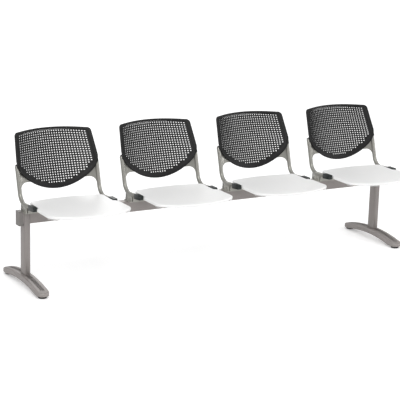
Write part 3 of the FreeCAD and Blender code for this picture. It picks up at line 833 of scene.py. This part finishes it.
def on_side_stretch(place, inner):
    """Side stretch between the front and rear corners."""
    if place.y >= -SEAT["shoulder"]:
        return abs(place.x - inner["rear_half"]) < NEAR
    if place.y <= -SEAT["widest"]:
        return abs(place.x - inner["front_half"]) < NEAR
    return (on_arc(place, (inner["rear_half"] + inner["inner"], -SEAT["shoulder"]), inner["inner"])
            or on_arc(place, (inner["front_half"] - inner["outer"], -SEAT["widest"]), inner["outer"]))


def inside_seat(centre):
    """Whether a face lies well inside the skirt."""
    x, reach = abs(centre.x), centre.y - BEAM_Y
    half = SEAT["rear_half"] if reach > -SEAT["shoulder"] else SEAT["front_half"] - SEAT_TAPER
    front = SEAT["front_radius"] - SEAT["front"]
    corner = seat_arcs(SEAT_SKIRT)["front_corner"]
    if x > corner.x and reach < corner.y:
        return math.hypot(x - corner.x, reach - corner.y) < SEAT["front_half"] - SEAT_SKIRT - corner.x
    return (x < half - SEAT_SKIRT and reach < SEAT["rear"] - SEAT_SKIRT
            and math.hypot(x, reach - front) < SEAT["front_radius"] - SEAT_SKIRT)


# Side frames: bent tube with a welded web

BEND = Vector((RAIL_X, BEAM_Y + 0.025, 0.438))
UPPER_BEND = Vector((RAIL_X, BEAM_Y + 0.071453, 0.6))
RAIL_TILT = math.radians(3)
RAIL = Vector((0, -math.cos(RAIL_TILT), math.sin(RAIL_TILT)))
LEANS = (math.radians(16), math.radians(22))
LOWER, UPPER = (Vector((0, math.sin(lean), math.cos(lean))) for lean in LEANS)
TUBE = {"rail": 0.1795, "bend": 0.065, "upper_bend": 0.150, "top": 0.0225, "sides": 28, "edge": 0.0012,
        "bend_steps": 22, "upper_steps": 4}
# The web lies between start and reach along the upright, and between root and tip across it
WEB = {
    "start": 0.066, "root": 0.006, "step": 0.011, "hollow": 0.038, "tip": 0.0915, "head": 0.196,
    "turn": math.radians(11), "thickness": 0.003, "edge": 0.0007, "hollow_steps": 14, "merge": 0.0002,
}


def bend_of(corner, into, away, radius):
    """Start, centre, turning angle and end of a bend at a corner."""
    half = into.angle(away) / 2
    start = corner - into * radius * math.tan(half)
    end = corner + away * radius * math.tan(half)
    centre = corner + (away - into).normalized() * radius / math.cos(half)
    return start, centre, 2 * half, end


def side_tube():
    """Round section carried along the rail, the bend and the two uprights."""
    s = sizes()
    front = BEND + RAIL * TUBE["rail"]
    top = UPPER_BEND + UPPER * TUBE["top"]
    deselect()
    turn = Vector((0, 0, 1)).rotation_difference(-RAIL).to_euler()
    bpy.ops.mesh.primitive_circle_add(vertices=TUBE["sides"], radius=s.tube_radius, location=front,
                                      rotation=turn)
    tube = bpy.context.object
    tube.name = "side_tube"
    settle(tube)
    edit(tube)
    take_all("EDGE")
    start, centre, angle, end = bend_of(BEND, -RAIL, LOWER, TUBE["bend"])
    draw_edges(start - front)
    sweep(centre, angle, TUBE["bend_steps"], axis=(1, 0, 0))
    start, centre, angle, after = bend_of(UPPER_BEND, LOWER, UPPER, TUBE["upper_bend"])
    draw_edges(start - end)
    sweep(centre, -angle, TUBE["upper_steps"], axis=(1, 0, 0))
    draw_edges(top - after)
    take_all()
    bpy.ops.mesh.fill_holes(sides=0)
    leave()
    outward(tube)
    return smooth(round_edges(tube, TUBE["edge"], 2, 60), 60)


def side_web():
    """Flat plate from the upright to the back's border, with a hollowed lower edge."""
    inward = Vector((-math.cos(WEB["turn"]), 0, 0))
    inward += Vector((0, LOWER.z, -LOWER.y)) * math.sin(WEB["turn"])
    normal = inward.cross(LOWER).normalized()
    middle = WEB["step"] + WEB["hollow"]
    shoulder = WEB["start"] + WEB["hollow"]

    def at(up, across):
        return BEND + LOWER * up + inward * across

    piece = start_point("side_web", at(WEB["start"], WEB["root"]))
    run_to(at(WEB["start"], WEB["root"]), at(WEB["start"], WEB["step"]))
    sweep(at(WEB["start"], middle), -math.pi / 2, WEB["hollow_steps"], axis=normal)
    run_to(at(shoulder, middle), at(shoulder, WEB["tip"]), 2)
    run_to(at(shoulder, WEB["tip"]), at(WEB["head"], WEB["root"]), 6)
    run_to(at(WEB["head"], WEB["root"]), at(WEB["start"], WEB["root"]), 6)
    take_all()
    bpy.ops.mesh.remove_doubles(threshold=WEB["merge"])
    bpy.ops.mesh.edge_face_add()
    leave()
    apply(piece, "SOLIDIFY", "Plate", thickness=WEB["thickness"], offset=0.0)
    return smooth(round_edges(piece, WEB["edge"], 2, 40), 40)


class SEATING_OT_side_frames(bpy.types.Operator):
    """Model the bent side frames with their webs, a pair to each chair"""
    bl_idname = "seating.side_frames"
    bl_label = "Side frames"

    def execute(self, context):
        right = joined("side_right", side_web(), side_tube())
        set_pairs(right, 50, "bent_frame_", "Grey coat", "frame_paint", "side_frame_")
        return {"FINISHED"}


CAP = {
    "size": (0.0258, 0.0618, 0.0278), "middle": 0.031, "nose": 0.86, "rim": 0.0045, "dimple": 0.0012,
    "wall": 0.0025, "mouth": 0.0015, "edge": 0.0032,
}
CAP_TIP = Vector((RAIL_X, BEAM_Y - 0.162742, 0.447839))


def rail_cap():
    """Sleeve with rounded edges, a shallow rim step and a dimple in its front."""
    deselect()
    bpy.ops.mesh.primitive_cube_add(size=1, location=(0, CAP["middle"], 0))
    cap = bpy.context.object
    cap.name = "rail_cap"
    cap.scale = CAP["size"]
    settle(cap)
    edit(cap)
    select_where(cap, lambda face: face.normal.y < -FACING, "FACE")
    bpy.ops.transform.resize(value=(CAP["nose"], 1, CAP["nose"]))
    bpy.ops.mesh.inset(thickness=CAP["rim"])
    draw_out((0, CAP["dimple"], 0))
    select_where(cap, lambda face: face.normal.y > FACING, "FACE")
    bpy.ops.mesh.inset(thickness=CAP["wall"])
    draw_out((0, -CAP["mouth"], 0))
    leave()
    round_edges(cap, CAP["edge"], 4, 30)
    cap.rotation_euler = (-RAIL_TILT, 0, 0)
    cap.location = CAP_TIP
    settle(cap)
    return smooth(cap, 45)


class SEATING_OT_rail_caps(bpy.types.Operator):
    """Model the dark cap on the front of each rail"""
    bl_idname = "seating.rail_caps"
    bl_label = "Rail caps"

    def execute(self, context):
        set_pairs(rail_cap(), 45, "end_cap_", "Cap plastic", "cap_plastic", "rail_cap_")
        return {"FINISHED"}


BEAM_EDGE = 0.004
BLOCK = {"corner": 0.0078, "edge": 0.0022, "least": 0.015, "outer": 1.15, "inset": 0.0003}
COLUMN = {"corner": 0.0118, "edge": 0.0008, "least": 0.3, "foot_gap": 0.0005, "top_gap": 0.0004}


class SEATING_OT_beam(bpy.types.Operator):
    """Round the beam and its end blocks, and dress the carriers, cross bars, bolts and nut plates"""
    bl_idname = "seating.beam"
    bl_label = "Beam"

    def execute(self, context):
        low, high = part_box("beam")
        tube = smooth(box_piece("beam_tube", low, high, BEAM_EDGE, 5))
        wear(tube, "Taupe metallic coat", ROOT, "beam_paint", "beam")
        for side in ("left", "right"):
            low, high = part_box("end_block_" + side)
            if side == "left":
                high.x = -BEAM_END
            else:
                low.x = BEAM_END
            block = box_piece("end_plug_" + side, low, high)
            edit(block)
            select_where(block, lambda face: abs(face.normal.x) > FACING
                         and abs(face.center.x) > BLOCK["outer"], "FACE")
            bpy.ops.mesh.inset(thickness=BLOCK["inset"])
            leave()
            bevel_along(block, 0, BLOCK["least"], BLOCK["corner"], 6)
            round_edges(block, BLOCK["edge"], 3, 50)
            smooth(block, 40)
            wear(block, "Taupe plastic", ROOT, "end_plastic", "end_block_" + side)
        for number in CHAIRS:
            dress_node("carrier_%d" % number, "Grey bracket coat")
            dress_node("cross_bar_%d" % number, "Grey bracket coat")
        dress_node("leg_bolts", "Blackened steel")
        for side in ("left", "right"):
            dress_node("nut_plate_" + side, "Blackened steel")
        return {"FINISHED"}


class SEATING_OT_columns(bpy.types.Operator):
    """Model the columns with large rounded corners"""
    bl_idname = "seating.columns"
    bl_label = "Columns"

    def execute(self, context):
        for side in ("left", "right"):
            low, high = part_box("column_" + side)
            low.z += COLUMN["foot_gap"]
            high.z -= COLUMN["top_gap"]
            post = box_piece("post_" + side, low, high)
            bevel_along(post, 2, COLUMN["least"], COLUMN["corner"], 8)
            round_edges(post, COLUMN["edge"], 2, 60)
            smooth(post, 40)
            wear(post, "Taupe metallic coat", ROOT, "beam_paint", "column_" + side)
        return {"FINISHED"}


# Feet: plan loops carried up and down, then pressed to the arch

FOOT = {"half": 0.2598, "width": 0.065, "tip_bottom": 0.011, "tip_top": 0.030, "top": 0.062,
        "middle_bottom": 0.032, "flat": 0.198, "turn_steps": 24, "merge": 0.00005}
FOOT_RIDGE = 0.0285
FOOT_TOE = 0.0045
# Inset and level of each loop, from the sole at 0 over the rounded edge to the top at 1
FOOT_EDGE = (
    (FOOT_TOE, 0.0), (0.0012, 0.0006), (0.0, 0.0022), (0.0, 1 - 0.0062), (0.0009, 1 - 0.0031),
    (0.0030, 1 - 0.0010), (0.0062, 1.0), (0.012, 1.0), (0.02, 1.0), (FOOT_RIDGE, 1.0),
)
FOOT_CUTS = 31


def circle_rise(y, half, low, high):
    """Height of a shallow arc that spans from low at both ends to high in the middle."""
    sag = high - low
    radius = (half * half + sag * sag) / (2 * sag)
    return high - radius + math.sqrt(max(0.0, radius * radius - y * y))


def foot_loop(name, inset, level):
    """Stadium plan loop drawn by a run and two half turns."""
    radius = FOOT["width"] / 2 - inset
    straight = FOOT["half"] - FOOT["width"] / 2
    piece = start_point(name, (radius, -straight, 0))
    run_to((radius, -straight, 0), (radius, straight, 0), FOOT_CUTS)
    sweep((0, straight, 0), math.pi, FOOT["turn_steps"])
    run_to((-radius, straight, 0), (-radius, -straight, 0), FOOT_CUTS)
    sweep((0, -straight, 0), math.pi, FOOT["turn_steps"])
    take_all()
    bpy.ops.mesh.remove_doubles(threshold=FOOT["merge"])
    leave()
    piece.location = (0, 0, level)
    return settle(piece)


class SEATING_OT_feet(bpy.types.Operator):
    """Model the arched feet with rounded upper edges"""
    bl_idname = "seating.feet"
    bl_label = "Feet"

    def execute(self, context):
        loops = [foot_loop("foot_loop_%d" % i, *place) for i, place in enumerate(FOOT_EDGE)]
        foot = joined("foot", *loops)
        bridge(foot)
        for level, inset, length in ((1.0, FOOT_RIDGE, 1), (0.0, FOOT_TOE, 0.96)):
            half_x = FOOT["width"] / 2 - inset
            select_where(foot, lambda co: abs(co.z - level) < TOUCH and self.on_loop(co, half_x))
            bpy.ops.mesh.select_mode(type="EDGE")
            draw_edges()
            bpy.ops.transform.resize(value=(0.0, length, 1), center_override=(0, 0, 0))
        leave()
        outward(foot)
        for vertex in foot.data.vertices:
            y = max(-FOOT["half"], min(FOOT["half"], vertex.co.y))
            top = circle_rise(y, FOOT["half"], FOOT["tip_top"], FOOT["top"])
            flat = max(-FOOT["flat"], min(FOOT["flat"], y))
            bottom = circle_rise(flat, FOOT["flat"], FOOT["tip_bottom"], FOOT["middle_bottom"])
            vertex.co.z += top - 1 if vertex.co.z > 0.5 else bottom
        foot.location = (0, BEAM_Y, 0)
        settle(foot)
        smooth(foot, 40)
        for side, x in (("left", -COLUMN_X), ("right", COLUMN_X)):
            piece = copy_piece(foot, "arched_foot_" + side, (x, 0, 0))
            wear(piece, "Taupe foot coat", ROOT, "foot_paint", "foot_" + side)
        bpy.data.objects.remove(foot)
        return {"FINISHED"}

    @staticmethod
    def on_loop(co, radius):
        straight = FOOT["half"] - FOOT["width"] / 2
        return on_arc((co.x, max(0.0, abs(co.y) - straight)), (0, 0), radius)


PAD = {
    "radius": 0.0227, "height": 0.006, "flange": 0.008, "well": 0.0094, "depth": 0.0038, "edge": 0.0012,
}


class SEATING_OT_glides(bpy.types.Operator):
    """Model the levelling pads and their stems"""
    bl_idname = "seating.glides"
    bl_label = "Glides"

    def execute(self, context):
        for name in GLIDES:
            low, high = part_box("glide_pad_" + name)
            centre = (low + high) / 2
            pad = cylinder_piece(PAD["radius"], PAD["height"], centre, 48)
            pad.name = "round_pad_" + name
            edit(pad)
            select_where(pad, lambda face: face.normal.z > FACING, "FACE")
            bpy.ops.mesh.inset(thickness=PAD["flange"])
            bpy.ops.mesh.inset(thickness=PAD["well"])
            draw_out((0, 0, -PAD["depth"]))
            leave()
            round_edges(pad, PAD["edge"], 3, 50)
            smooth(pad, 40)
            wear(pad, "Black plastic", "glide_" + name, "glide_plastic", "glide_pad_" + name)
            dress_node("glide_stem_" + name, "Blackened steel")
        return {"FINISHED"}


STAY = {
    "y": BEAM_Y + 0.015, "radius": 0.0045, "length": 0.0425, "middle": 0.4213,
    "nut_radius": 0.00577, "nut_height": 0.0058, "nuts": (0.4035, 0.4105), "edge": 0.0005,
}


class SEATING_OT_stays(bpy.types.Operator):
    """Model the posts between the carriers and the rails"""
    bl_idname = "seating.stays"
    bl_label = "Stays"

    def execute(self, context):
        shank = cylinder_piece(STAY["radius"], STAY["length"], (RAIL_X, STAY["y"], STAY["middle"]), 24)
        nuts = []
        for z in STAY["nuts"]:
            nut = cylinder_piece(STAY["nut_radius"], STAY["nut_height"], (RAIL_X, STAY["y"], z), 6)
            nuts.append(round_edges(nut, STAY["edge"], 2))
        post = joined("stay_right", *nuts, shank)
        smooth(post, 40)
        left = mirror_piece(post, "stay_left")
        pieces = [copy_piece(model, "stay_%s_%d" % (side, number), (chair_x(number), 0, 0))
                  for number in CHAIRS for side, model in (("left", left), ("right", post))]
        bpy.data.objects.remove(left)
        bpy.data.objects.remove(post)
        for piece in pieces[1:]:
            wear(piece, "Plated steel", ROOT, "bolt_steel")
        wear(pieces[0], "Plated steel", ROOT, "bolt_steel", "stays")
        return {"FINISHED"}


# Finishes

class SEATING_OT_finishes(bpy.types.Operator):
    """Build the shared effects and every finish"""
    bl_idname = "seating.finishes"
    bl_label = "Finishes"

    def execute(self, context):
        c = colours()
        moulded_grain()
        powder_coat()
        black = (0.012, 0.012, 0.012)
        plastics = (
            ("Charcoal plastic", c.back, 0.5,
             {"bump": 0.12, "distance": 0.0003, "vary": 0.12, "specular": 0.25}),
            ("White plastic", c.seat, 0.38, {"bump": 0.06, "vary": 0.012}),
            ("Cap plastic", c.cap, 0.35, {"bump": 0.08, "vary": 0.2}),
            ("Black plastic", black, 0.5, {"bump": 0.1, "vary": 0.2}),
            ("Taupe plastic", (0.185, 0.172, 0.164), 0.42, {"bump": 0.08, "vary": 0.04}),
        )
        coats = (
            ("Grey coat", c.tube, 0.34, {"metallic": 0.55, "vary": 0.08, "coat": 0.2}),
            ("Grey bracket coat", [v * 1.3 for v in c.tube], 0.42,
             {"metallic": 0.25, "bump": 0.06, "vary": 0.08}),
            ("Taupe metallic coat", c.beam, 0.4, {"metallic": 0.45, "bump": 0.06, "vary": 0.1}),
            ("Taupe foot coat", [v * 1.08 for v in c.beam], 0.5,
             {"metallic": 0.1, "bump": 0.06, "vary": 0.08}),
            ("Plated steel", (0.36, 0.355, 0.34), 0.35, {"metallic": 0.7, "bump": 0.04, "vary": 0.1}),
            ("Blackened steel", c.bolt, 0.35, {"metallic": 0.9, "bump": 0.04, "vary": 0.15}),
        )
        for group_name, finishes in (("Moulded grain", plastics), ("Powder coat", coats)):
            for name, colour, rough, values in finishes:
                finish(name, group_name, colour, rough, **values)
        return {"FINISHED"}


# Stage: pale floor, soft lamps and the camera

# Name, place, power, size and the height aimed at
LAMPS = (
    ("key", (-3.2, -4.2, 4.6), 156, 3.2, 0.45),
    ("fill", (4.6, -3.0, 2.6), 75, 3.0, 0.45),
    ("top", (0.0, -0.8, 4.2), 32, 4.0, 0.45),
    ("rear", (0.5, 4.5, 3.4), 60, 3.0, 0.5),
)
# The floor's glow grows with the reach from the middle
FLOOR = {
    "size": 60, "shade": 0.93, "vary": (0.995, 1.005), "speckle": 40.0,
    "glow": (0.30, 0.60), "reach": (2.5, 8.0),
}
# Strength of the surroundings as light and as seen by the camera
WORLD = (0.55, 1.0)
CAMERA = {
    "azimuth": math.radians(-29.6), "elevation": math.radians(14.4), "roll": math.radians(1.6),
    "distance": 7.5, "focal": 1376.1 / 400, "target": Vector((-0.1235, BEAM_Y - 0.078, 0.3771)),
}


class SEATING_OT_stage(bpy.types.Operator):
    """Set the pale floor, the soft lamps and the camera"""
    bl_idname = "seating.stage"
    bl_label = "Stage"

    def execute(self, context):
        deselect()
        bpy.ops.mesh.primitive_plane_add(size=FLOOR["size"], location=(0, 0, 0))
        floor = bpy.context.object
        floor.name = "floor"
        floor.data.materials.append(self.floor_material())
        for lamp in LAMPS:
            self.lamp(*lamp)
        self.world()
        context.scene.view_settings.view_transform = "Standard"
        self.camera(context.scene)
        return {"FINISHED"}

    @staticmethod
    def lamp(name, place, power, size, height):
        light = bpy.data.lights.new(name, "AREA")
        light.energy = power
        light.size = size
        holder = bpy.data.objects.new(name, light)
        holder.location = place
        from_aim = Vector(place) - Vector((0, 0, height))
        holder.rotation_euler = from_aim.to_track_quat("Z", "Y").to_euler()
        bpy.context.scene.collection.objects.link(holder)

    @staticmethod
    def floor_material():
        material, nodes, links, shader = new_material("Pale floor")
        dial(shader, {"Roughness": 0.9, "Specular IOR Level": 0.0, "Emission Color": (1, 1, 1, 1)})
        speckle = nodes.new("ShaderNodeTexNoise")
        dial(speckle, {"Scale": FLOOR["speckle"]})
        place = nodes.new("ShaderNodeTexCoord")
        links.new(place.outputs["Object"], speckle.inputs["Vector"])
        links.new(tint(nodes, links, speckle.outputs["Fac"], [FLOOR["shade"]] * 3, *FLOOR["vary"]),
                  shader.inputs["Base Color"])
        path = nodes.new("ShaderNodeLightPath")
        seen = nodes.new("ShaderNodeMath")
        seen.operation = "MULTIPLY"
        distance = nodes.new("ShaderNodeVectorMath")
        distance.operation = "LENGTH"
        links.new(place.outputs["Object"], distance.inputs[0])
        glow = span(nodes, links, distance.outputs["Value"], *FLOOR["glow"], *FLOOR["reach"])
        links.new(glow, seen.inputs[1])
        links.new(path.outputs["Is Camera Ray"], seen.inputs[0])
        links.new(seen.outputs["Value"], shader.inputs["Emission Strength"])
        return material

    @staticmethod
    def world():
        world = bpy.data.worlds.new("Studio")
        bpy.context.scene.world = world
        world.use_nodes = True
        nodes, links = world.node_tree.nodes, world.node_tree.links
        background = nodes["Background"]
        dial(background, {"Color": (1, 1, 1, 1)})
        path = nodes.new("ShaderNodeLightPath")
        most = nodes.new("ShaderNodeMath")
        most.operation = "MAXIMUM"
        links.new(path.outputs["Is Camera Ray"], most.inputs[0])
        links.new(path.outputs["Is Transmission Ray"], most.inputs[1])
        level = span(nodes, links, most.outputs["Value"], *WORLD)
        links.new(level, background.inputs["Strength"])

    @staticmethod
    def camera(scene):
        azimuth, elevation, roll = CAMERA["azimuth"], CAMERA["elevation"], CAMERA["roll"]
        back = Vector((math.sin(azimuth) * math.cos(elevation), -math.cos(azimuth) * math.cos(elevation),
                       math.sin(elevation)))
        right = Vector((math.cos(azimuth), math.sin(azimuth), 0))
        up = back.cross(right)
        tilted_right = right * math.cos(roll) + up * math.sin(roll)
        tilted_up = -right * math.sin(roll) + up * math.cos(roll)
        place = CAMERA["target"] + back * CAMERA["distance"]
        data = bpy.data.cameras.new("camera")
        data.sensor_width = 36.0
        data.lens = data.sensor_width * CAMERA["focal"]
        camera = bpy.data.objects.new("camera", data)
        turn = Matrix((tilted_right, tilted_up, back)).transposed()
        camera.matrix_world = Matrix.Translation(place) @ turn.to_4x4()
        scene.collection.objects.link(camera)
        scene.camera = camera


STEPS = (
    SEATING_OT_finishes, SEATING_OT_backs, SEATING_OT_seats, SEATING_OT_side_frames,
    SEATING_OT_rail_caps, SEATING_OT_beam, SEATING_OT_columns, SEATING_OT_feet, SEATING_OT_glides,
    SEATING_OT_stays, SEATING_OT_stage,
)


class SEATING_PT_panel(bpy.types.Panel):
    """Seating pieces in the sidebar"""
    bl_idname = "SEATING_PT_panel"
    bl_label = "Beam seating"
    bl_space_type = "VIEW_3D"
    bl_region_type = "UI"
    bl_category = "Seating"

    def draw(self, context):
        layout = self.layout
        for step in STEPS:
            layout.operator(step.bl_idname)


CLASSES = (SeatingSizes, SeatingColours) + STEPS + (SEATING_PT_panel,)


def register():
    for cls in CLASSES:
        bpy.utils.register_class(cls)
    bpy.types.Scene.seating_sizes = bpy.props.PointerProperty(type=SeatingSizes)
    bpy.types.Scene.seating_colours = bpy.props.PointerProperty(type=SeatingColours)


def unregister():
    del bpy.types.Scene.seating_colours
    del bpy.types.Scene.seating_sizes
    for cls in reversed(CLASSES):
        bpy.utils.unregister_class(cls)


def main():
    register()
    bpy.ops.seating.finishes()
    bpy.ops.seating.backs()
    bpy.ops.seating.seats()
    bpy.ops.seating.side_frames()
    bpy.ops.seating.rail_caps()
    bpy.ops.seating.beam()
    bpy.ops.seating.columns()
    bpy.ops.seating.feet()
    bpy.ops.seating.glides()
    bpy.ops.seating.stays()
    bpy.ops.seating.stage()
    deselect()


if __name__ == "__main__":
    main()
